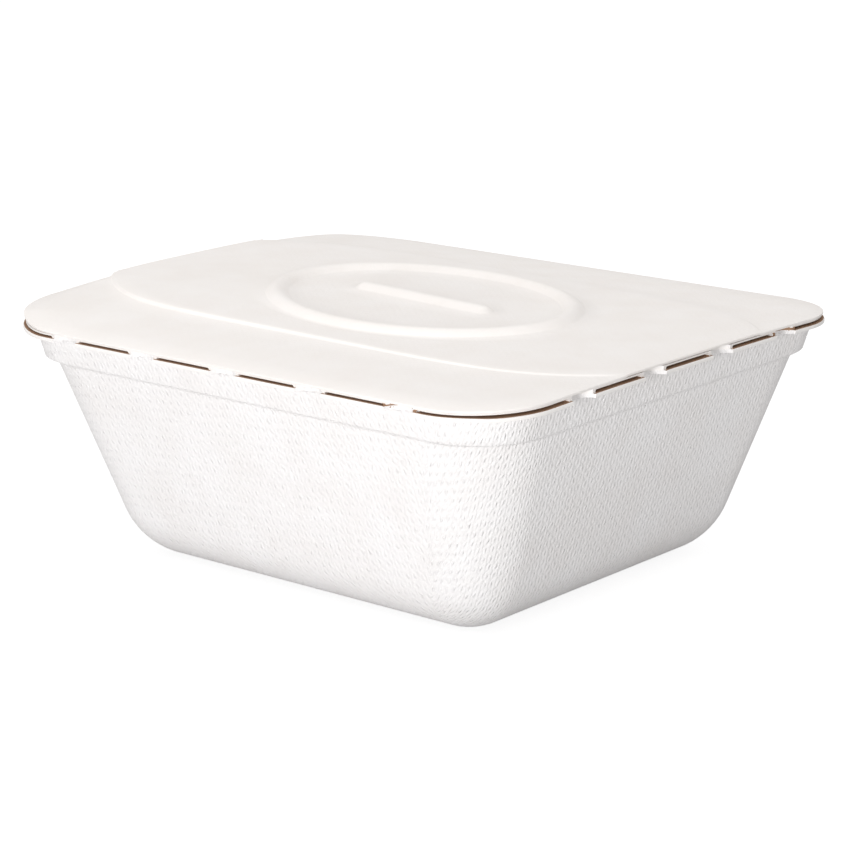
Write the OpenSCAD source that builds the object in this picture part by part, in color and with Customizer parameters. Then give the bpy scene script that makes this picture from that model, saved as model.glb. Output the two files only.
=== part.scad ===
// Lidded takeout container of moulded plant fibre: a deep tray with flared walls and a slotted rim,
// and a loose lid that rests on the rim. Rim and lid bow up together between the long sides, most
// of all at the left-hand end.
// Millimetres. The origin is the middle of the underside of the tray, +X runs along the long side
// and +Z points up out of the tray.

/* [Outline] */

// Length of the lid along X; the tray rim follows it
lid_length = 180; // [165:1:210]

// Width of the lid along Y
lid_width = 160; // [145:1:180]

// Plan radius of the lid's corners
lid_corner_radius = 22.5; // [18:0.5:28]

// Height of the tray from the table to the top of its rim, along the long sides
tray_height = 68.4; // [55:0.1:90]

/* [Bow of rim and lid] */

// Rise of the bow at the middle of the left end
bow_left = 5.6; // [0:0.1:7]

// Rise of the bow at the middle of the right end
bow_right = 1.2; // [0:0.1:7]

// How flat the middle of the bow is: 2 is a plain arc, more is flatter with steeper flanks
bow_power = 2.8; // [2:0.1:3.2]

/* [Tray walls] */

// Length of the base where wall and floor would meet without the rounding
base_length = 128.9; // [115:0.1:140]

// Width of the base where wall and floor would meet without the rounding
base_width = 112.3; // [100:0.1:122]

// Plan radius of the wall's corners at the base
base_corner_radius = 14.4; // [12:0.1:20]

// Radius that rolls the walls into the floor, on the outside
floor_radius = 21; // [14:0.5:24]

// Thickness of the pressed fibre in the tray
tray_sheet = 0.9; // [0.7:0.1:1.2]

/* [Collar] */

// Depth of the stepped-out band under the rim, down to its ledge
collar_depth = 9; // [6:0.1:12]

// How far the foot of the collar stands in from the lid's edge
collar_inset = 5.3; // [4.6:0.1:7]

// How far the collar leans out on its way up to the rim
collar_lean = 2.05; // [1:0.05:2.4]

// How far the wall is set back under the collar's ledge along the straight sides
ledge_setback = 0.6; // [0.4:0.1:1.5]

// Extra plan radius of the wall's corners below the ledge
wall_corner_extra = 5; // [2:0.5:6]

// Height over which the ledge is softened
ledge_height = 1.5; // [0.8:0.1:2.5]

/* [Rim] */

// How far the lower lip stands out past the lid's edge
lower_lip_reach = 0.4; // [0.2:0.1:1]

// Thickness of the lower lip
lower_lip_thick = 1; // [0.8:0.05:1.2]

// How far the upper lip's edge stands in from the lid's edge
upper_lip_inset = 0.4; // [0.2:0.1:1]

// Thickness of the upper lip
upper_lip_thick = 0.5; // [0.5:0.05:1]

// Height of the slots between the two lips
slot_height = 0.7; // [0.6:0.05:1.2]

// Distance from one bridge between slots to the next
bridge_pitch = 30; // [28:0.5:32]

// Bridges along each long side
long_side_bridges = 5; // [3:1:5]

// Bridges along each short side
short_side_bridges = 4; // [2:1:4]

// Width of the hollow in each bridge at the rim's edge
notch_width = 9; // [6:0.5:10]

// Depth of the hollow in each bridge, measured in from the lower lip's edge
notch_depth = 3.4; // [2:0.1:3.4]

// Fibre left between a hollow and the end of the next slot
slot_end_wall = 0.8; // [0.6:0.1:1.5]

/* [Lid] */

// Thickness of the pressed fibre in the lid
lid_sheet = 0.7; // [0.6:0.1:1]

// Play under the lid where it rests on the rim
seat_gap = 0.05; // [0.02:0.01:0.2]

// How far the lid's front left corner has lifted off the rim
corner_lift = 1.6; // [0:0.1:2.5]

// Distance from the corner over which the lift dies away
lift_reach = 30; // [20:1:40]

/* [Raised panel] */

// Distance from the panel's front edge to its back edge, at mid-length
panel_width = 98; // [90:1:104]

// How much each long edge of the panel draws in by the ends of the lid
panel_draw_in = 19; // [0:0.5:24]

// How far the panel is skewed towards +Y by its right-hand end
panel_skew = 3; // [0:0.5:6]

// How late along the lid the edges draw in: more keeps them straight for longer
panel_power = 5.5; // [4:0.5:7]

// Height of the panel's step at the left end of the lid
panel_step_left = 1.1; // [0.6:0.1:1.6]

// Height of the panel's step at the right end of the lid
panel_step_right = 0.3; // [0.2:0.1:1.6]

/* [Beads] */

// Length of the oval bead along X, to the middle of its ridge
oval_length = 90; // [70:1:100]

// Width of the oval bead along Y, to the middle of its ridge
oval_width = 71; // [60:1:72]

// Length of the straight bead inside the oval, between its end centres
bar_length = 42; // [20:1:50]

// Width of the beads
bead_width = 7; // [5:0.5:9]

// Height of the beads
bead_height = 1.8; // [1:0.1:2.4]

/* [Hidden] */

// Facets of a full turn of the slots' round ends and of the hollows in the bridges
slot_facets = 16;
notch_facets = 36;

// Slack that carries a cut clear through the face it opens
through = 0.5;
// Depth to which the bridges run into the lips, and how far they stay back from the lips' side faces
lip_bite = 0.3;
flush_margin = 0.05;
// Steps round each plan corner of a lofted ring, and up the rounding of the floor
corner_steps = 10;
floor_steps = 8;
// Steps along each straight side of a ring
side_steps = 12;
// Smallest plan radius that a ring of the floor is given
least_radius = 2;
// Ring in the soft turn under the ledge: how far it stands out past the wall's line, and how far
// below the ledge it lies as a share of the turn's height
ledge_turn_out = 0.1;
ledge_turn_drop = 1 / 3;
// Steps from ridge to foot of the oval bead and of the straight bead
oval_steps = 4;
bar_steps = 4;
// Plan width of the slope at the panel's step, and rounds of halving that find its place on a spoke
step_run = 1.2;
crossing_rounds = 16;

collar_corner_radius = lid_corner_radius - collar_inset;
ledge_z = tray_height - collar_depth;
lower_lip_z = tray_height - upper_lip_thick - slot_height - lower_lip_thick;
slot_z = lower_lip_z + lower_lip_thick;
top_inset = collar_inset - collar_lean;
opening_inset = top_inset + tray_sheet;
lid_z = tray_height + seat_gap;

// Half sizes of the wall under the ledge, and how far the wall runs out for each millimetre it rises
wall_top_half = [lid_length / 2 - collar_inset - ledge_setback, lid_width / 2 - collar_inset - ledge_setback];
base_half = [base_length / 2, base_width / 2];
wall_run = (wall_top_half - base_half) / ledge_z;
wall_corner_radius = collar_corner_radius + wall_corner_extra;

// Rise of the bow at a place in plan; it runs out to nothing at the long edges
function bow(x, y) =
    let (rise = bow_left + (bow_right - bow_left) * (0.5 + x / lid_length))
    rise * max(0, 1 - pow(abs(2 * y / lid_width), bow_power));

// Points in plan round a rectangle of the given half sizes with rounded corners
function loop(half, radius) = [
    for (corner = [0 : 3])
        let (
            side = [[1, 1], [-1, 1], [-1, -1], [1, -1]][corner],
            centre = [side[0] * (half[0] - radius), side[1] * (half[1] - radius)],
            end = 90 * (corner + 1),
            tangent = centre + radius * [cos(end), sin(end)],
            straight = 2 * (half[corner % 2] - radius) * [-sin(end), cos(end)]
        )
        each concat(
            [
                for (k = [0 : corner_steps])
                    let (a = end - 90 + 90 * k / corner_steps)
                    centre + radius * [cos(a), sin(a)]
            ],
            [for (k = [1 : side_steps - 1]) tangent + straight * k / side_steps]
        )
];

// One ring of a skin: a rounded rectangle at a height, lifted by a share of the bow
function ring(half, radius, z, bowed = 0) = [
    for (p = loop(half, radius))
        [p[0], p[1], z + bowed * bow(p[0], p[1])]
];

// Faces that join each ring of a stack to the next one
function bands(count, pairs) = [
    for (pair = pairs, i = [0 : count - 1])
        let (j = (i + 1) % count, a = pair[0] * count, b = pair[1] * count)
        each [[a + i, b + i, b + j], [a + i, b + j, a + j]]
];

// A solid skin through a stack of rings, closed by a flat fan of faces over the first and the last
module skin(rings) {
    count = len(rings[0]);
    last = len(rings) - 1;
    hub = (last + 1) * count;
    polyhedron(
        points = concat([for (r = rings) each r], [[0, 0, rings[0][0][2]], [0, 0, rings[last][0][2]]]),
        faces = concat(
            [for (i = [0 : count - 1]) [hub, i, (i + 1) % count]],
            [for (i = [0 : count - 1]) [hub + 1, last * count + (i + 1) % count, last * count + i]],
            bands(count, [for (k = [0 : last - 1]) [k, k + 1]])
        ),
        convexity = 6
    );
}

// A bowed band round the rim: between two heights, and between two distances out from the lid's edge
module rim_band(low, high, inner, outer) {
    rings = [rim_ring(outer, low), rim_ring(outer, high), rim_ring(inner, high), rim_ring(inner, low)];
    polyhedron(
        points = [for (r = rings) each r],
        faces = bands(len(rings[0]), [[0, 1], [1, 2], [2, 3], [3, 0]]),
        convexity = 8
    );
}

// Half sizes of the tray's wall at a height, on a surface set in by the given depth
function wall_half(z, inset) = [
    for (k = [0, 1]) base_half[k] + wall_run[k] * z - inset * sqrt(1 + wall_run[k] * wall_run[k])
];

function wall_radius(z) = base_corner_radius + (wall_corner_radius - base_corner_radius) * z / ledge_z;

// One ring on the rounding between floor and wall; part runs from 0 at the floor to 1 at the wall
function floor_ring(part, inset) =
    let (
        r = floor_radius - inset,
        lean = [for (k = [0, 1]) atan(wall_run[k])],
        sweep = [for (k = [0, 1]) part * (90 - lean[k])],
        centre = [
            for (k = [0, 1])
                base_half[k] + wall_run[k] * floor_radius - floor_radius / cos(lean[k])
        ],
        half = [for (k = [0, 1]) centre[k] + r * sin(sweep[k])],
        z = floor_radius - r * cos((sweep[0] + sweep[1]) / 2),
        draw = wall_half(z, inset) - half
    )
    ring(half, max(wall_radius(z) - inset - max(draw[0], 0), least_radius), z);

// One ring of the collar; part runs from 0 at the ledge to 1 under the rim
function collar_ring(part, inset, z, bowed) =
    let (
        back = collar_inset - part * collar_lean + inset,
        half = [lid_length / 2 - back, lid_width / 2 - back]
    )
    ring(half, collar_corner_radius + part * collar_lean - inset, z, bowed);

// Rings of the tray from the floor up to the top of the rim, on the outside or set in by the sheet
function tray_rings(inset) = concat(
    [for (s = [0 : floor_steps]) floor_ring(s / floor_steps, inset)],
    [
        ring(wall_half(ledge_z - ledge_height, inset), wall_radius(ledge_z - ledge_height) - inset,
            ledge_z - ledge_height + inset),
        ring(wall_half(ledge_z, inset) + [ledge_turn_out, ledge_turn_out],
            (wall_radius(ledge_z) + collar_corner_radius) / 2 - inset,
            ledge_z - ledge_height * ledge_turn_drop + inset),
        collar_ring(0, inset, ledge_z + inset, 0),
        collar_ring(1, inset, lower_lip_z, 1)
    ]
);

// One ring of the rim, at a distance out from the lid's edge
function rim_ring(out, z) = ring([lid_length / 2 + out, lid_width / 2 + out], lid_corner_radius + out, z, 1);

// Puts its children at every bridge of the rim, with +X pointing outwards from the lower lip's edge,
// lifted and tilted as the bow is there
module at_bridges() {
    for (side = [-1, 1], k = [0 : long_side_bridges - 1]) {
        x = (k - (long_side_bridges - 1) / 2) * bridge_pitch;
        translate([x, side * (lid_width / 2 + lower_lip_reach), 0])
            rotate([0, 0, side * 90])
                children();
    }
    for (side = [-1, 1], k = [0 : short_side_bridges - 1]) {
        x = side * (lid_length / 2 + lower_lip_reach);
        y = (k - (short_side_bridges - 1) / 2) * bridge_pitch;
        tilt = side * atan((bow(x, y + 1) - bow(x, y - 1)) / 2);
        translate([x, y, slot_z + bow(x, y)])
            rotate([tilt, 0, 90 - side * 90])
                translate([0, 0, -slot_z])
                    children();
    }
}

// The fibre left standing between two slots, with the slots' round ends cut into its sides
module bridge() {
    width = notch_width + 2 * slot_end_wall;
    depth = opening_inset + lower_lip_reach + 2 * through;
    translate([through, 0, slot_z])
        rotate([90, 0, -90])
            linear_extrude(depth)
                difference() {
                    translate([-(width + slot_height) / 2, -through])
                        square([width + slot_height, slot_height + 2 * through]);
                    for (side = [-1, 1])
                        translate([side * (width + slot_height) / 2, slot_height / 2])
                            circle(d = slot_height, $fn = slot_facets);
                }
}

// All bridges, cut to the rim: they join the two lips, and what is left open between them is the slots
module bridges() {
    intersection() {
        rim_band(slot_z - lip_bite, slot_z + slot_height + lip_bite,
            -opening_inset + flush_margin, -upper_lip_inset - flush_margin);
        at_bridges()
            bridge();
    }
}

// The hollows pressed into the rim at the bridges
module notches() {
    radius = (notch_width * notch_width / 4 + notch_depth * notch_depth) / (2 * notch_depth);
    at_bridges()
        translate([radius - notch_depth, 0, lower_lip_z - through])
            cylinder(r = radius, h = tray_height - lower_lip_z + 2 * through, $fn = notch_facets);
}

// The shell of the tray: one sheet from the outside of the floor up the walls, out along the lower
// lip and back, and down the inside to the floor
module shell() {
    outside = tray_rings(0);
    lip = [
        rim_ring(lower_lip_reach, lower_lip_z),
        rim_ring(lower_lip_reach, slot_z),
        rim_ring(-opening_inset, slot_z)
    ];
    inside = tray_rings(tray_sheet);
    last = len(inside) - 1;
    skin(concat(outside, lip, [for (k = [last : -1 : 0]) inside[k]]));
}

// The tray: floor, flared walls, collar and slotted rim, pressed as one sheet
module tray() {
    color("#f3f0ea")
        difference() {
            union() {
                shell();
                rim_band(slot_z + slot_height, tray_height, -opening_inset, -upper_lip_inset);
                bridges();
            }
            notches();
        }
}

// Height of the panel's step along the lid
function panel_step(x) = panel_step_left + (panel_step_right - panel_step_left) * (0.5 + x / lid_length);

// Where an edge of the raised panel lies, for the front (-1) or the back (1)
function panel_edge(x, side) =
    let (share = 2 * x / lid_length)
    side * (panel_width / 2 - panel_draw_in * pow(abs(share), panel_power)) + panel_skew * share;

function past_panel(p) = p[1] < panel_edge(p[0], -1) || p[1] > panel_edge(p[0], 1);

// Share of the way from one point to another at which the panel's edge is crossed, found by halving
function panel_crossing(from, to, near, far, rounds) =
    let (half_way = (near + far) / 2)
    rounds < 1 ? half_way :
    past_panel(from + (to - from) * half_way) ? panel_crossing(from, to, near, half_way, rounds - 1)
                                              : panel_crossing(from, to, half_way, far, rounds - 1);

// A point of the oval bead, across from -1 at its inner foot to 1 at its outer foot
function oval_point(turn, across) =
    [(oval_length + across * bead_width) / 2 * cos(turn), (oval_width + across * bead_width) / 2 * sin(turn)];

// A point of the straight bead at a distance from its axis; the first and last 45 degrees of each
// quarter turn go round its ends
function bar_point(turn, away) =
    let (a = atan2(abs(sin(turn)), abs(cos(turn))), side = [sign(cos(turn)), sign(sin(turn))])
    a < 45 ? [side[0] * (bar_length / 2 + away * cos(2 * a)), side[1] * away * sin(2 * a)]
           : [side[0] * bar_length / 2 * (90 - a) / 45, side[1] * away];

// Rise of a bead's rounded back, across its half width from 0 at the ridge to 1 at the foot
function bead_rise(across) = bead_height * (1 - across * across);

// The stations along one spoke, each as [place in plan, rise of a bead, share of the panel's step].
// A spoke leaves the oval bead for its seat over the inner edge of the rim, and goes on to the lid's edge
function stations(seat, edge) =
    let (
        turn = atan2(edge[1] / lid_width, edge[0] / lid_length),
        bar_foot = bar_point(turn, bead_width / 2),
        start = oval_point(turn, 1),
        run = seat - start,
        half_step = step_run / 2 / norm(run),
        step = min(panel_crossing(start, seat, 0, 2, crossing_rounds), 1 - 2 * half_step),
        foot = step + half_step
    )
    concat(
        [
            for (k = [1 : bar_steps])
                [bar_point(turn, bead_width / 2 * k / bar_steps), bead_rise(k / bar_steps), 1]
        ],
        [[(bar_foot + oval_point(turn, -1)) / 2, 0, 1]],
        [
            for (k = [-oval_steps : oval_steps])
                [oval_point(turn, k / oval_steps), bead_rise(k / oval_steps), 1]
        ],
        [for (k = [1 : 3]) [start + run * (step - half_step) * k / 3, 0, 1]],
        [
            for (p = [start + run * foot, start + run * (foot + 1) / 2, seat, edge])
                [p, 0, past_panel(p) ? 0 : 1]
        ]
    );

// Lift of the loose lid off the rim, strongest at the middle of its front left corner
function lift(x, y) =
    let (
        back = lid_corner_radius * (1 - cos(45)),
        away = norm([x + lid_length / 2 - back, y + lid_width / 2 - back])
    )
    corner_lift * pow(max(0, 1 - away / lift_reach), 2);

// The lid's upper face at a station
function lid_point(station) =
    let (x = station[0][0], y = station[0][1])
    [x, y, lid_z + lid_sheet + bow(x, y) + lift(x, y) + station[1] + station[2] * panel_step(x)];

// The lid: a bowed sheet with a raised panel, an oval bead and a straight bead, all pressed in one
// thickness. Its faces are woven over spokes that run from the middle out to each point of the outline,
// and over the rim they match the facets of the tray, so that the lid lies on it all round
module lid() {
    half = [lid_length, lid_width] / 2;
    edges = loop(half, lid_corner_radius);
    seats = loop(half - [opening_inset, opening_inset], lid_corner_radius - opening_inset);
    spokes = [
        for (i = [0 : len(edges) - 1])
            [for (s = stations(seats[i], edges[i])) lid_point(s)]
    ];
    count = len(spokes);
    depth = len(spokes[0]);
    upper = concat(
        [[0, 0, lid_z + lid_sheet + bow(0, 0) + panel_step(0) + bead_height]],
        [for (spoke = spokes) each spoke]
    );
    under = [for (p = upper) p - [0, 0, lid_sheet]];
    flip = len(upper);
    color("#efe9e2")
        polyhedron(
            points = concat(upper, under),
            faces = [
                for (i = [0 : count - 1])
                    let (a = 1 + i * depth, b = 1 + ((i + 1) % count) * depth)
                    each concat(
                        [[0, b, a], [flip, flip + a, flip + b]],
                        [
                            for (k = [0 : depth - 2])
                                each [
                                    [a + k, b + k, a + k + 1],
                                    [b + k, b + k + 1, a + k + 1],
                                    [flip + a + k, flip + a + k + 1, flip + b + k],
                                    [flip + b + k, flip + a + k + 1, flip + b + k + 1]
                                ]
                        ],
                        [
                            [a + depth - 1, b + depth - 1, flip + b + depth - 1],
                            [a + depth - 1, flip + b + depth - 1, flip + a + depth - 1]
                        ]
                    )
            ],
            convexity = 8
        );
}

tray();
lid();
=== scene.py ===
"""Looks of a lidded takeout container of moulded plant fibre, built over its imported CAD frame."""

import math

import bmesh
import bpy
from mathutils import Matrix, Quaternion, Vector


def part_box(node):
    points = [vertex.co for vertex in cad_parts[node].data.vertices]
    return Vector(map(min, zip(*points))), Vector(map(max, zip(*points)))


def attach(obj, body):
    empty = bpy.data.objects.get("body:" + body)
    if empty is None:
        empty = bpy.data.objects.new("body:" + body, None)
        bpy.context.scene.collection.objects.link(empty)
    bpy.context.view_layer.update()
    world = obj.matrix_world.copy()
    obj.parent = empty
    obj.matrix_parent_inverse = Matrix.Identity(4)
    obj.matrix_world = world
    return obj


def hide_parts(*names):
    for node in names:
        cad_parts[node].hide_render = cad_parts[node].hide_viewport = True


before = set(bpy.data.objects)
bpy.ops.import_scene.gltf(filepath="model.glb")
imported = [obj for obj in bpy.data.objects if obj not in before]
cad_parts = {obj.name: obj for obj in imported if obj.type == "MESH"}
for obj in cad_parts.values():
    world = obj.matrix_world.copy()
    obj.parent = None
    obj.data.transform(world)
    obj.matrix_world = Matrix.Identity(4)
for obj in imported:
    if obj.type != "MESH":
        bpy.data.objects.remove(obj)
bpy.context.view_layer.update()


# The tray: one sheet of bleached plant fibre, sucked wet onto a wire-mesh mould and pressed dry. It has
# a rounded floor, flared walls and a collar that steps out under the rim. The rim is two thin lips
# with slots between them, joined by bridges with a hollow pressed into each.
mm = 0.001
lid_low, lid_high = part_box("lid")
lid_half = ((lid_high.x - lid_low.x) / 2, (lid_high.y - lid_low.y) / 2)
lid_corner = 22.5 * mm
rim_height = 68.4 * mm
bow_left = 5.6 * mm
bow_right = 1.2 * mm
bow_power = 2.8

base_half = (64.45 * mm, 56.15 * mm)
base_corner = 14.4 * mm
floor_radius = 21.0 * mm
tray_sheet = 0.9 * mm
collar_inset = 5.3 * mm
collar_lean = 2.05 * mm
turn_out_radius = 0.9 * mm
ledge_z = 59.4 * mm
ledge_setback = 0.6 * mm
ledge_height = 1.5 * mm
wall_corner = lid_corner - collar_inset + 5.0 * mm
least_radius = 2.0 * mm

lower_reach = 0.4 * mm
lower_thick = 1.0 * mm
upper_inset = 0.4 * mm
upper_thick = 0.5 * mm
slot_height = 0.7 * mm
lip_round = 0.22 * mm
slot_top = rim_height - upper_thick
slot_floor = slot_top - slot_height
lower_z = slot_floor - lower_thick
opening_inset = collar_inset - collar_lean + tray_sheet

bridge_pitch = 30.0 * mm
bridge_counts = (5, 4)
notch_width = 9.0 * mm
notch_depth = 3.4 * mm
slot_end_wall = 0.8 * mm
notch_radius = (notch_width ** 2 / 4 + notch_depth ** 2) / (2 * notch_depth)

pinch_rise = 0.3 * mm
pinch_start = 8.0 * mm
pinch_run = 6.0 * mm

wall_run = [(lid_half[k] - collar_inset - ledge_setback - base_half[k]) / ledge_z for k in (0, 1)]


def bow(x, y):
    """How far the rim and the lid are bowed up at a place: most in the middle of the left end."""
    rise = bow_left + (bow_right - bow_left) * (0.5 + x / (2 * lid_half[0]))
    return rise * max(0.0, 1 - abs(y / lid_half[1]) ** bow_power)


def notch(s):
    """How deep the hollow of the nearest bridge cuts in at a distance along the rim from its middle."""
    if abs(s) >= notch_width / 2:
        return 0.0
    return math.sqrt(notch_radius ** 2 - s * s) - (notch_radius - notch_depth)


# How finely the rim is divided: steps in a corner, spacing along a side, steps across half a hollow
corner_steps = 24
station_pitch = 3.0 * mm
hollow_steps = 10
hollow_margin = 0.5 * mm
corner_margin = 1.0 * mm


def rim_stations():
    """Stations round the rim, closer together at the hollows. Each holds its corner, its angle there or
    None, its share of the side that follows the corner, and how deep a hollow cuts in."""
    found = []
    for corner in range(4):
        for k in range(corner_steps + 1):
            found.append((corner, 90 * k / corner_steps, 0.0, 0.0))
        side = corner % 2
        half_side = lid_half[side] - lid_corner
        count = bridge_counts[side]
        middles = [(k - (count - 1) / 2) * bridge_pitch for k in range(count)]
        reach = int(half_side / station_pitch)
        marks = {round(k * station_pitch, 5) for k in range(-reach, reach + 1)}
        for middle in middles:
            marks = {m for m in marks if abs(m - middle) > notch_width / 2 + 1.2 * hollow_margin}
            marks |= {round(middle + notch_width / 2 * math.sin(math.radians(90 * k / hollow_steps)), 6)
                      for k in range(-hollow_steps, hollow_steps + 1)}
            marks |= {middle + end * (notch_width / 2 + hollow_margin) for end in (-1, 1)}
        direction = -1 if corner in (0, 1) else 1
        for place in sorted(m for m in marks if abs(m) < half_side - corner_margin)[::direction]:
            nearest = min(abs(place - middle) for middle in middles)
            found.append((corner, None, (half_side + direction * place) / (2 * half_side), notch(nearest)))
    return found


def plan(half, radius, stations):
    """Plan points of a rounded rectangle at the given stations."""
    points = []
    for corner, angle, share, _ in stations:
        side = ((1, 1), (-1, 1), (-1, -1), (1, -1))[corner]
        centre = (side[0] * (half[0] - radius), side[1] * (half[1] - radius))
        turn = math.radians(90 * corner + (90 if angle is None else angle))
        along = 2 * (half[corner % 2] - radius) * share
        points.append((centre[0] + radius * math.cos(turn) - along * math.sin(turn),
                       centre[1] + radius * math.sin(turn) + along * math.cos(turn)))
    return points


def wall_half(z, inset):
    """Half length and half width of the flared wall at a height, on its outside or inset from it."""
    return [base_half[k] + wall_run[k] * z - inset * math.hypot(1, wall_run[k]) for k in (0, 1)]


def wall_radius(z):
    return base_corner + (wall_corner - base_corner) * z / ledge_z


def smooth(t):
    """Nought to one with a level start and end."""
    return t * t * (3 - 2 * t)


def mix(a, b, t):
    """The value a share t of the way from a to b."""
    return a + (b - a) * t


def wall_rings(stations, inset, floor_steps, wall_steps):
    """Loops of one face of the tray, from the floor up to the underside of the rim."""
    ledge_steps, collar_steps = 6, 5
    loops = []
    lean = [math.atan(run) for run in wall_run]
    centre = [base_half[k] + wall_run[k] * floor_radius - floor_radius / math.cos(lean[k]) for k in (0, 1)]
    for step in range(floor_steps + 1):
        sweep = [step / floor_steps * (math.pi / 2 - a) for a in lean]
        r = floor_radius - inset
        half = [centre[k] + r * math.sin(sweep[k]) for k in (0, 1)]
        z = floor_radius - r * math.cos(sum(sweep) / 2)
        draw = wall_half(z, inset)[0] - half[0]
        radius = max(wall_radius(z) - inset - max(draw, 0), least_radius)
        loops.append([(x, y, z) for x, y in plan(half, radius, stations)])
    foot = ledge_z - ledge_height
    for step in range(1, wall_steps + 1):
        z = mix(loops[floor_steps][0][2], foot + inset, step / wall_steps)
        loops.append([(x, y, z) for x, y in plan(wall_half(z, inset), wall_radius(z) - inset, stations)])
    collar_half = [lid_half[k] - collar_inset - inset for k in (0, 1)]
    for step in range(1, ledge_steps + 1):
        t = step / ledge_steps
        half = [mix(wall_half(foot, inset)[k], collar_half[k], smooth(t)) for k in (0, 1)]
        radius = mix(wall_radius(foot) - inset, lid_corner - collar_inset - inset, smooth(t))
        z = foot + inset + ledge_height * (t if inset else t ** 0.8)
        loops.append([(x, y, z) for x, y in plan(half, radius, stations)])
    for step in range(1, collar_steps + 1):
        t = step / collar_steps
        out = collar_lean * t - collar_inset - inset
        z = mix(ledge_z + inset, lower_z - (0 if inset else turn_out_radius), t)
        half = [lid_half[k] + out for k in (0, 1)]
        loops.append([(x, y, z + t * bow(x, y)) for x, y in plan(half, lid_corner + out, stations)])
    return loops


def rim_ring(stations, out, z):
    """A loop of the rim at a distance out from the lid's edge, held back where a hollow cuts in."""
    points = []
    for station in stations:
        reach = min(out, lower_reach - station[3])
        x, y = plan([lid_half[k] + reach for k in (0, 1)], lid_corner + reach, [station])[0]
        points.append((x, y, z + bow(x, y)))
    return points


def pinch(y):
    """Along the front the lips are pressed closer together: how far the lower lip comes up there."""
    return pinch_rise * smooth(min(1.0, max(0.0, (-y - lid_half[1] + pinch_start) / pinch_run)))


def lip_edge(stations, out, low, high, pinched=0):
    """Six loops round the rounded edge of a lip, from underneath to the top; sharp inside a hollow."""
    rings = []
    for back, z in ((1, 0), (0.3, 0.3), (0, 1), (0, -1), (0.3, -0.3), (1, 0)):
        level = low + lip_round * z if len(rings) < 3 else high + lip_round * z
        points = []
        for station in stations:
            round_off = lip_round * back if station[3] == 0 else 0.0
            reach = min(out, lower_reach - station[3]) - round_off
            x, y = plan([lid_half[k] + reach for k in (0, 1)], lid_corner + reach, [station])[0]
            points.append((x, y, level + bow(x, y) + pinched * pinch(y)))
        rings.append(points)
    return rings


def weave(bm, loops, closed=False):
    """Joins a stack of point loops into a skin, and gives its vertices and edges loop by loop."""
    count = len(loops[0])
    ring_verts = [[bm.verts.new(p) for p in loop] for loop in loops]
    ring_edges = [[bm.edges.new((v[k], v[(k + 1) % count])) for k in range(count)] for v in ring_verts]
    pairs = list(zip(ring_edges, ring_edges[1:])) + ([(ring_edges[-1], ring_edges[0])] if closed else [])
    for a, b in pairs:
        bmesh.ops.bridge_loops(bm, edges=a + b)
    return ring_verts, ring_edges


def lay_uv(bm, skins, stations):
    """UV in millimetres: u along the rim and v down the section, so that the mesh print keeps its pitch.
    Each corner goes with the side that follows it, and its wires lie closer together, where the
    cloth is drawn round the mould."""
    corner_draw = 1.5
    on_side = corner_steps + 6
    layer = bm.loops.layers.uv.new("print")
    place, lengths = {}, {}
    for number, rows in enumerate(skins):
        run = [0.0]
        for upper_row, lower_row in zip(rows, rows[1:]):
            run.append(run[-1] + (upper_row[on_side].co - lower_row[on_side].co).length)
        lengths[number] = run
        for row, verts in enumerate(rows):
            for k, vert in enumerate(verts):
                place[vert] = (number, row, k)
    starts = [next(k for k, station in enumerate(stations) if station[0] == corner) for corner in range(4)]

    def along(corner, vert):
        return (-vert.co.x, -vert.co.y, vert.co.x, vert.co.y)[corner]

    for face in bm.faces:
        known = [place.get(vert) for vert in face.verts]
        if len(known) != 4 or None in known:
            upright = abs(face.normal.z) < 0.7
            for loop in face.loops:
                x, y, z = loop.vert.co / mm
                loop[layer].uv = (x + y, z) if upright else (x, y)
            continue
        ks = [k for _, _, k in known]
        first = max(ks) if max(ks) - min(ks) > 1 else min(ks)
        corner = stations[first][0]
        for loop in face.loops:
            number, row, k = place[loop.vert]
            u = along(corner, loop.vert)
            if stations[k][0] == corner and stations[k][1] is not None:
                verts = skins[number][row]
                tangent = along(corner, verts[starts[corner] + corner_steps])
                radius = tangent - along(corner, verts[starts[corner]])
                u = tangent - radius * corner_draw * math.radians(90 - stations[k][1])
            loop[layer].uv = (u / mm, lengths[number][row] / mm)


def finish_mesh(bm, name, sharp_degrees):
    """Turns a bmesh into an object of the scene, shaded smooth but for edges sharper than an angle."""
    bmesh.ops.recalc_face_normals(bm, faces=bm.faces)
    mesh = bpy.data.meshes.new(name)
    bm.to_mesh(mesh)
    bm.free()
    for polygon in mesh.polygons:
        polygon.use_smooth = True
    mesh.set_sharp_from_angle(angle=math.radians(sharp_degrees))
    piece = bpy.data.objects.new(name, mesh)
    bpy.context.scene.collection.objects.link(piece)
    return piece


stations = rim_stations()
bm = bmesh.new()
outside = wall_rings(stations, inset=0.0, floor_steps=14, wall_steps=8)
lip_root = collar_lean - collar_inset
turn_out = [rim_ring(stations, lip_root + turn_out_radius * (1 - math.cos(math.radians(a))),
                     lower_z - turn_out_radius * (1 - math.sin(math.radians(a)))) for a in (30, 60, 90)]
inside = wall_rings(stations, inset=tray_sheet, floor_steps=10, wall_steps=4)
shell_loops = (outside + turn_out + lip_edge(stations, lower_reach, lower_z, slot_floor, 1)
               + [rim_ring(stations, -opening_inset, slot_floor)] + inside[::-1])
shell, shell_edges = weave(bm, shell_loops)
for edges in (shell_edges[0], shell_edges[-1]):
    bmesh.ops.contextual_create(bm, geom=edges)
upper_loops = lip_edge(stations, -upper_inset, slot_top, rim_height) + [
    rim_ring(stations, -opening_inset, rim_height), rim_ring(stations, -opening_inset, slot_top)]
upper, _ = weave(bm, upper_loops, closed=True)

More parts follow.
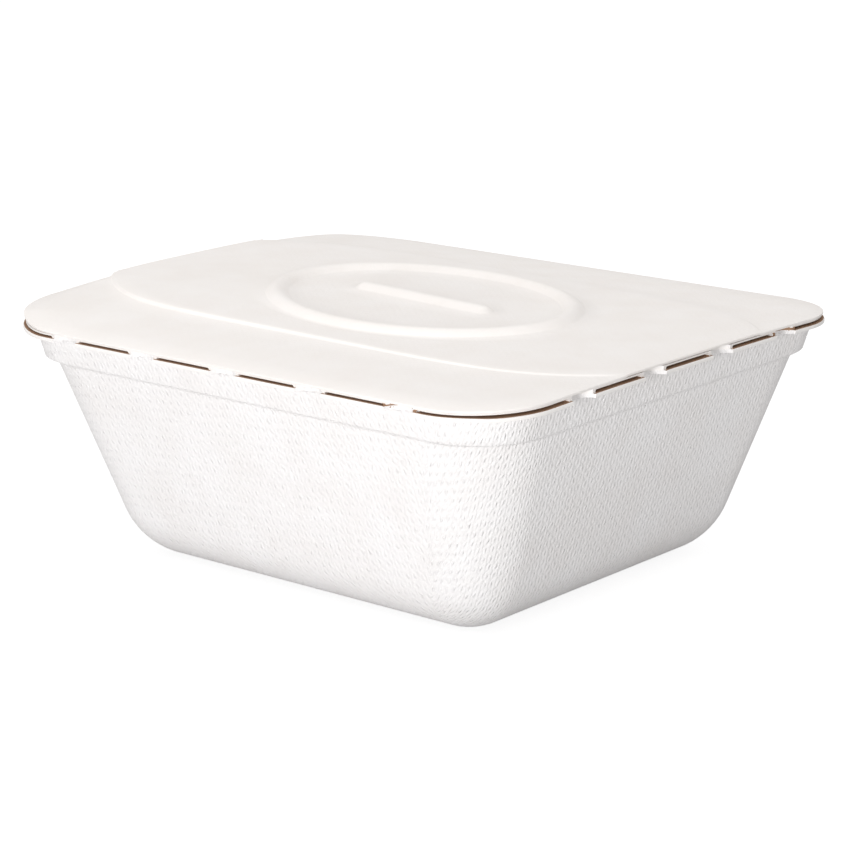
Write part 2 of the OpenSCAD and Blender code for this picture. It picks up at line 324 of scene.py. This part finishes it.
# The bridges: a block in the slot behind each hollow, with round ends, sunk a little into both lips
lip_bite = 0.2 * mm
block_setback = 0.02 * mm
block_back = opening_inset - 0.05 * mm
blocks = set()
for corner in range(4):
    side = corner % 2
    turn = math.radians(90 * corner + 90)
    outward = Vector((math.cos(turn), math.sin(turn), 0))
    along = Vector((-math.sin(turn), math.cos(turn), 0))
    for k in range(bridge_counts[side]):
        middle = (k - (bridge_counts[side] - 1) / 2) * bridge_pitch
        grid = bmesh.ops.create_grid(bm, x_segments=24, y_segments=10, size=1.0)["verts"]
        faces = list({face for vert in grid for face in vert.link_faces})
        back = bmesh.ops.extrude_face_region(bm, geom=faces)["geom"]
        back = {item for item in back if isinstance(item, bmesh.types.BMVert)}
        for vert in list(grid) + list(back):
            across, up = vert.co.x, vert.co.y
            level = up * (slot_height / 2 + lip_bite)
            bite = min(abs(level), slot_height / 2)
            end = (notch_width / 2 + slot_end_wall + slot_height / 2
                   - math.sqrt(slot_height ** 2 / 4 - bite ** 2))
            s = end * math.sin(across * math.pi / 2)
            out = min(-upper_inset, lower_reach - notch(s)) - block_setback
            if vert in back:
                out = -block_back
            spot = outward * (lid_half[1 - side] + out) + along * (middle + s)
            vert.co = (spot.x, spot.y, slot_floor + slot_height / 2 + level + bow(spot.x, spot.y))
    blocks |= set(grid) | back
bm.normal_update()
lay_uv(bm, [shell, upper], stations)

# Which faces are which: 0 pressed on the mesh, 1 smooth lips and inside, 2 within the slots, coloured
# dark brown as painted shade. The slots' round ends are the small upright facets of the bridges.
largest_end_facet = 0.12 * mm * mm
row_of = {vert: row for row, verts in enumerate(shell) for vert in verts}
hollow = {verts[k] for rows in (shell, upper) for verts in rows
          for k, station in enumerate(stations) if station[3] > 0}
lip_loops = 6
last_below = len(outside) + len(turn_out) - 1
first_inside = last_below + 1 + lip_loops
for face in bm.faces:
    rows = [row_of[vert] for vert in face.verts if vert in row_of]
    if any(vert in blocks for vert in face.verts):
        slot_end = abs(face.normal.z) < 0.5 and face.calc_area() < largest_end_facet
        face.material_index = 2 if slot_end else 0
    elif rows and max(rows) <= last_below:
        face.material_index = 0
    elif rows and min(rows) >= first_inside:
        face.material_index = 1
    elif all(vert in hollow for vert in face.verts):
        face.material_index = 0
    elif rows:
        face.material_index = 2 if min(rows) == first_inside - 1 else 1
    else:
        face.material_index = 2 if face.normal.z < -0.7 else 1
tray = finish_mesh(bm, "tray_moulding", 38)
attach(tray, "root")
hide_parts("tray")


def colour(code):
    """An sRGB hex colour as the linear values that a shader takes."""
    parts = [int(code[k:k + 2], 16) / 255 for k in (1, 3, 5)]
    return [p / 12.92 if p <= 0.04045 else ((p + 0.055) / 1.055) ** 2.4 for p in parts] + [1.0]


def node(tree, kind, settings=None, **links):
    """Adds a node; settings are its properties or socket values, links join sockets to outputs."""
    made = tree.nodes.new(kind)
    for key, value in (settings or {}).items():
        if isinstance(key, int) or key in made.inputs:
            made.inputs[key].default_value = value
        else:
            setattr(made, key, value)
    for key, source in links.items():
        socket = int(key[1:]) if key[0] == "_" and key[1:].isdigit() else key.replace("_", " ")
        tree.links.new(source, made.inputs[socket])
    return made


def pressed_fibre(name, tint, print_height, grain_height):
    """Bleached bagasse pulp, moulded and hot-pressed: a matt off-white sheet with the print of the
    woven forming mesh, a fine fibre grain, faint clouding where the pulp settled thicker, no gloss."""
    wire_pitch, row_pitch, cloth_turn = 1.38, 1.45, math.radians(-6)
    grain_size, cloud_size = 0.8 * mm, 14 * mm
    material = bpy.data.materials.new(name)
    material.use_nodes = True
    tree = material.node_tree
    tree.nodes.clear()
    uv = node(tree, "ShaderNodeUVMap", {"uv_map": "print"}).outputs[0]
    place = node(tree, "ShaderNodeTexCoord").outputs["Object"]

    # Forming mesh: plain weave with its wires and rows about 1.4 mm apart, a little out of line. Its
    # wires leave short upright strokes, staggered from row to row.
    wander = node(tree, "ShaderNodeTexNoise", {"Scale": 0.5, "Detail": 3.0, "noise_dimensions": "2D"},
                  Vector=uv)
    shift = node(tree, "ShaderNodeVectorMath", {"operation": "SCALE", "Scale": 1.2},
                 _0=wander.outputs["Color"])
    shaken = node(tree, "ShaderNodeVectorMath", {"operation": "ADD"}, _0=uv, _1=shift.outputs[0])
    turned = node(tree, "ShaderNodeMapping",
                  {"Rotation": (0, 0, cloth_turn), "Scale": (math.pi / wire_pitch, math.pi / row_pitch, 1)},
                  Vector=shaken.outputs[0])
    apart = node(tree, "ShaderNodeSeparateXYZ", Vector=turned.outputs[0])
    double = node(tree, "ShaderNodeMath", {"operation": "MULTIPLY", 1: 2.0}, _0=apart.outputs[0])
    wires, rows, doubled = (node(tree, "ShaderNodeMath", {"operation": "COSINE"}, _0=source).outputs[0]
                            for source in (apart.outputs[0], apart.outputs[1], double.outputs[0]))
    knuckles = node(tree, "ShaderNodeMath", {"operation": "MULTIPLY"}, _0=wires, _1=rows)
    rows_share = node(tree, "ShaderNodeMath", {"operation": "MULTIPLY_ADD", 1: 0.45, 2: 0.55}, _0=rows)
    strokes = node(tree, "ShaderNodeMath", {"operation": "MULTIPLY"}, _0=doubled, _1=rows_share.outputs[0])
    weave_height = node(tree, "ShaderNodeMath", {"operation": "ADD"},
                        _0=knuckles.outputs[0], _1=strokes.outputs[0])
    worn = node(tree, "ShaderNodeTexNoise", {"Scale": 0.45, "Detail": 3.0, "Roughness": 0.6,
                                             "noise_dimensions": "2D"}, Vector=uv)
    uneven = node(tree, "ShaderNodeMath", {"operation": "MULTIPLY"},
                  _0=weave_height.outputs[0], _1=worn.outputs[0])

    # Fibre grain, drawn coarser than the real fibres so that it shows
    grain = node(tree, "ShaderNodeTexNoise", {"Scale": 1 / grain_size, "Detail": 3.0, "Roughness": 0.6},
                 Vector=place)
    bump_print = node(tree, "ShaderNodeBump", {"Strength": 1.0, "Distance": print_height},
                      Height=uneven.outputs[0])
    bump = node(tree, "ShaderNodeBump", {"Strength": 1.0, "Distance": grain_height},
                Height=grain.outputs[0], Normal=bump_print.outputs[0])

    # Clouding, where the pulp settled thicker, and a matt skin
    cloud = node(tree, "ShaderNodeTexNoise", {"Scale": 1 / cloud_size, "Detail": 3.0, "Roughness": 0.55},
                 Vector=place)
    ramp = node(tree, "ShaderNodeValToRGB", Fac=cloud.outputs[0])
    ramp.color_ramp.elements[0].position, ramp.color_ramp.elements[0].color = 0.3, colour(tint[0])
    ramp.color_ramp.elements[1].position, ramp.color_ramp.elements[1].color = 0.7, colour(tint[1])
    rough = node(tree, "ShaderNodeMapRange", {"To Min": 0.82, "To Max": 0.96}, Value=grain.outputs[0])
    shader = node(tree, "ShaderNodeBsdfPrincipled", {"IOR": 1.45, "Specular IOR Level": 0.25},
                  Normal=bump.outputs[0], Base_Color=ramp.outputs[0], Roughness=rough.outputs[0])
    node(tree, "ShaderNodeOutputMaterial", Surface=shader.outputs[0])
    return material


# The mesh side is cool white and rough to the eye, the lips are smoother, and the sheet inside the
# slots lies in its own shade, which is painted on it as a dark brown colour
tray.data.materials.append(pressed_fibre("moulded fibre, mesh side", ("#f1eeed", "#f5f3f3"),
                                         print_height=0.13 * mm, grain_height=0.2 * mm))
tray.data.materials.append(pressed_fibre("moulded fibre, smooth pressed lip", ("#f2eeeb", "#f6f3f1"),
                                         print_height=0.01 * mm, grain_height=0.03 * mm))
# Painted shade: the faces inside the slots are coloured dark brown for the shade they lie in
tray.data.materials.append(pressed_fibre("moulded fibre, painted brown shade in the slots", ("#94745c", "#a88870"),
                                         print_height=0.01 * mm, grain_height=0.05 * mm))


# The lid: a thinner sheet of the same fibre, pressed smooth. It lies on the rim and bows with it. A
# panel raised by about a millimetre runs along it, and an oval bead with a straight one inside
# stiffens the panel.
lid_sheet = 0.7 * mm
seat_gap = 0.05 * mm
panel_width = 98.0 * mm
panel_draw_in = 19.0 * mm
panel_skew = 3.0 * mm
panel_power = 5.5
panel_step = (1.1 * mm, 0.3 * mm)
step_run = 1.2 * mm
oval_half = (45.0 * mm, 35.5 * mm)
bar_half = 21.0 * mm
bead_half = 3.5 * mm
bead_height = 1.8 * mm
bead_power = 1.15
lid_round = 0.22 * mm
corner_lift = 1.6 * mm
lift_reach = 30.0 * mm
lid_top = rim_height + seat_gap + lid_sheet

# Rows of vertices along a spoke: on the bars' beads, between them, on the panel, its step, the margin
bar_rows, flat_rows, oval_rows, panel_rows, step_rows, margin_rows = 8, 4, 9, 8, 6, 4
corner_spokes, side_spokes = 28, 44


def panel_edge(x, side):
    """Where the raised panel ends towards the front (side -1) or the back (side 1)."""
    share = x / lid_half[0]
    return side * (panel_width / 2 - panel_draw_in * abs(share) ** panel_power) + panel_skew * share


def past_panel(p):
    return p.y < panel_edge(p.x, -1) or p.y > panel_edge(p.x, 1)


def oval_point(turn, across):
    """A point of the oval bead: across runs from -1 at its inner foot to 1 at its outer foot."""
    return Vector(((oval_half[0] + across * bead_half) * math.cos(turn),
                   (oval_half[1] + across * bead_half) * math.sin(turn)))


def bar_point(turn, away):
    """A point at a distance from the straight bead's middle line, whose ends are round."""
    c, s = math.cos(turn), math.sin(turn)
    quarter = math.degrees(math.atan2(abs(s), abs(c)))
    side = (math.copysign(1, c), math.copysign(1, s))
    if quarter < 45:
        a = math.radians(2 * quarter)
        return Vector((side[0] * (bar_half + away * math.cos(a)), side[1] * away * math.sin(a)))
    return Vector((side[0] * bar_half * (90 - quarter) / 45, side[1] * away))


def bead_rise(across):
    return bead_height * max(0.0, 1 - across * across) ** bead_power


def lid_spoke(edge):
    """Places along one spoke of the lid, each with its height over the plain bowed sheet."""
    turn = math.atan2(edge.y / lid_half[1], edge.x / lid_half[0])
    places = [(bar_point(turn, bead_half * k / bar_rows), bead_rise(k / bar_rows), 1.0)
              for k in range(1, bar_rows + 1)]
    foot, inner = bar_point(turn, bead_half), oval_point(turn, -1)
    places += [(foot.lerp(inner, k / flat_rows), 0.0, 1.0) for k in range(1, flat_rows)]
    places += [(oval_point(turn, k / oval_rows), bead_rise(k / oval_rows), 1.0)
               for k in range(-oval_rows, oval_rows + 1)]
    start = oval_point(turn, 1)
    near, far = 0.0, 2.0
    halvings = 24
    for _ in range(halvings):
        half_way = (near + far) / 2
        if past_panel(start.lerp(edge, half_way)):
            far = half_way
        else:
            near = half_way
    half_step = step_run / 2 / (edge - start).length
    inset = 1 - lid_round / (edge - start).length
    step = min(near, inset - 2 * half_step)
    places += [(start.lerp(edge, (step - half_step) * k / panel_rows), 0.0, 1.0)
               for k in range(1, panel_rows)]
    runs_off = near > inset - 2 * half_step
    for k in range(step_rows + 1):
        share = step + half_step * (2 * k / step_rows - 1)
        places.append((start.lerp(edge, share), 0.0, 1.0 if runs_off else 1 - smooth(k / step_rows)))
    low = 1.0 if runs_off and not past_panel(edge) else 0.0
    places += [(start.lerp(edge, mix(step + half_step, inset, k / margin_rows)), 0.0,
                mix(places[-1][2], low, smooth(k / margin_rows))) for k in range(1, margin_rows + 1)]
    return places, low


lid_stations = []
for corner in range(4):
    lid_stations += [(corner, 90 * k / corner_spokes, 0.0, 0.0) for k in range(corner_spokes + 1)]
    lid_stations += [(corner, None, k / side_spokes, 0.0) for k in range(1, side_spokes)]
edges = [Vector(p) for p in plan(lid_half, lid_corner, lid_stations)]
spokes = [lid_spoke(edge) for edge in edges]


def lid_height(p, rise, share):
    """Height of the lid's upper face, bowed with the rim and lifted at its front left corner."""
    step_height = mix(panel_step[0], panel_step[1], 0.5 + p.x / (2 * lid_half[0]))
    back = lid_corner * (1 - math.cos(math.radians(45)))
    away = math.hypot(p.x + lid_half[0] - back, p.y + lid_half[1] - back)
    lift = corner_lift * max(0.0, 1 - away / lift_reach) ** 2
    return lid_top + bow(p.x, p.y) + lift + rise + share * step_height


lid_rows = zip(*(places for places, _ in spokes))
upper_loops = [[(p.x, p.y, lid_height(p, rise, share)) for p, rise, share in row] for row in lid_rows]
edge_loops = []
for back, drop in ((0.29, 0.29), (0, 1), (0, -1), (0.29, -0.29)):
    loop = []
    for edge, (places, low) in zip(edges, spokes):
        p = edge.lerp(places[-1][0], back)
        z = lid_height(p, 0.0, low) - (lid_round * drop if drop > 0 else lid_sheet + lid_round * drop)
        loop.append((p.x, p.y, z))
    edge_loops.append(loop)
under_loops = [[(x, y, z - lid_sheet) for x, y, z in loop] for loop in upper_loops[::-1]]
bm = bmesh.new()
skin, skin_edges = weave(bm, upper_loops + edge_loops + under_loops)
for edges_of_loop in (skin_edges[0], skin_edges[-1]):
    bmesh.ops.contextual_create(bm, geom=edges_of_loop)
layer = bm.loops.layers.uv.new("print")
for face in bm.faces:
    for corner_loop in face.loops:
        corner_loop[layer].uv = (corner_loop.vert.co.x / mm, corner_loop.vert.co.y / mm)
lid = finish_mesh(bm, "lid_moulding", 40)
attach(lid, "root")
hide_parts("lid")
lid.data.materials.append(pressed_fibre("moulded fibre, pressed side", ("#f0ebe7", "#f3efec"),
                                        print_height=0.02 * mm, grain_height=0.04 * mm))


# The stage: a white sweep under and behind the container. The floor is plain white and takes the
# shadow; seen by the camera it is helped a little, so that it runs out to the white of the photograph.
bm = bmesh.new()
floor_half = 6.0
bmesh.ops.create_grid(bm, x_segments=1, y_segments=1, size=floor_half)
mesh = bpy.data.meshes.new("floor")
bm.to_mesh(mesh)
bm.free()
floor = bpy.data.objects.new("floor", mesh)
bpy.context.scene.collection.objects.link(floor)


def seen_directly(tree):
    """One for what the eye sees straight, in a gloss or through something clear; nought for plain light."""
    path = node(tree, "ShaderNodeLightPath")
    straight = node(tree, "ShaderNodeMath", {"operation": "MAXIMUM"}, _0=path.outputs["Is Camera Ray"],
                    _1=path.outputs["Is Glossy Ray"])
    return node(tree, "ShaderNodeMath", {"operation": "MAXIMUM"}, _0=straight.outputs[0],
                _1=path.outputs["Is Transmission Ray"]).outputs[0]


paper = bpy.data.materials.new("white paper sweep")
paper.use_nodes = True
tree = paper.node_tree
tree.nodes.clear()
plain = node(tree, "ShaderNodeBsdfDiffuse", {"Color": colour("#d6d6d6")})
dimmed = node(tree, "ShaderNodeBsdfDiffuse", {"Color": colour("#959595")})
glow = node(tree, "ShaderNodeEmission", {"Color": colour("#ffffff"), "Strength": 0.85})
helped = node(tree, "ShaderNodeAddShader", _0=dimmed.outputs[0], _1=glow.outputs[0])
both = node(tree, "ShaderNodeMixShader", _0=seen_directly(tree), _1=plain.outputs[0], _2=helped.outputs[0])
node(tree, "ShaderNodeOutputMaterial", Surface=both.outputs[0])
floor.data.materials.append(paper)

world = bpy.data.worlds.new("studio")
bpy.context.scene.world = world
world.use_nodes = True
tree = world.node_tree
tree.nodes.clear()
strength = node(tree, "ShaderNodeMapRange", {"To Min": 0.55, "To Max": 0.99}, Value=seen_directly(tree))
sky = node(tree, "ShaderNodeBackground", {"Color": colour("#ffffff")}, Strength=strength.outputs[0])
node(tree, "ShaderNodeOutputWorld", Surface=sky.outputs[0])


def lamp(name, place, aim, width, height, watts):
    """A soft box: an area lamp at a place, turned towards an aim."""
    data = bpy.data.lights.new(name, "AREA")
    data.shape = "RECTANGLE"
    data.size, data.size_y, data.energy = width, height, watts
    light = bpy.data.objects.new(name, data)
    light.location = place
    light.rotation_euler = (Vector(aim) - Vector(place)).to_track_quat("-Z", "Y").to_euler()
    bpy.context.scene.collection.objects.link(light)


middle = (0, 0, 0.04)
lamp("key, low in front", (0.36, -0.85, 0.14), middle, 0.2, 0.2, 4.2)
lamp("top fill", (-0.1, 0.0, 1.5), middle, 1.2, 1.2, 9.5)


# The camera: a long lens at table height, a little above the rim, over the near right-hand corner.
# Its place and turn come from matching the photograph's outlines.
focal_pixels = 2719.46
picture_pixels = 850
camera_data = bpy.data.cameras.new("camera")
camera_data.sensor_width = 36.0
camera_data.lens = camera_data.sensor_width * focal_pixels / picture_pixels
camera = bpy.data.objects.new("camera", camera_data)
bpy.context.scene.collection.objects.link(camera)
bpy.context.scene.camera = camera
bpy.context.scene.view_settings.view_transform = "Standard"
azimuth, elevation, roll = (math.radians(a) for a in (40.543, 14.807, -0.617))
look = Vector((-math.sin(azimuth) * math.cos(elevation), math.cos(azimuth) * math.cos(elevation),
               -math.sin(elevation)))
camera.location = (0.48173, -0.56316, 0.23299)
camera.rotation_euler = (Quaternion(look, -roll) @ look.to_track_quat("-Z", "Y")).to_euler()
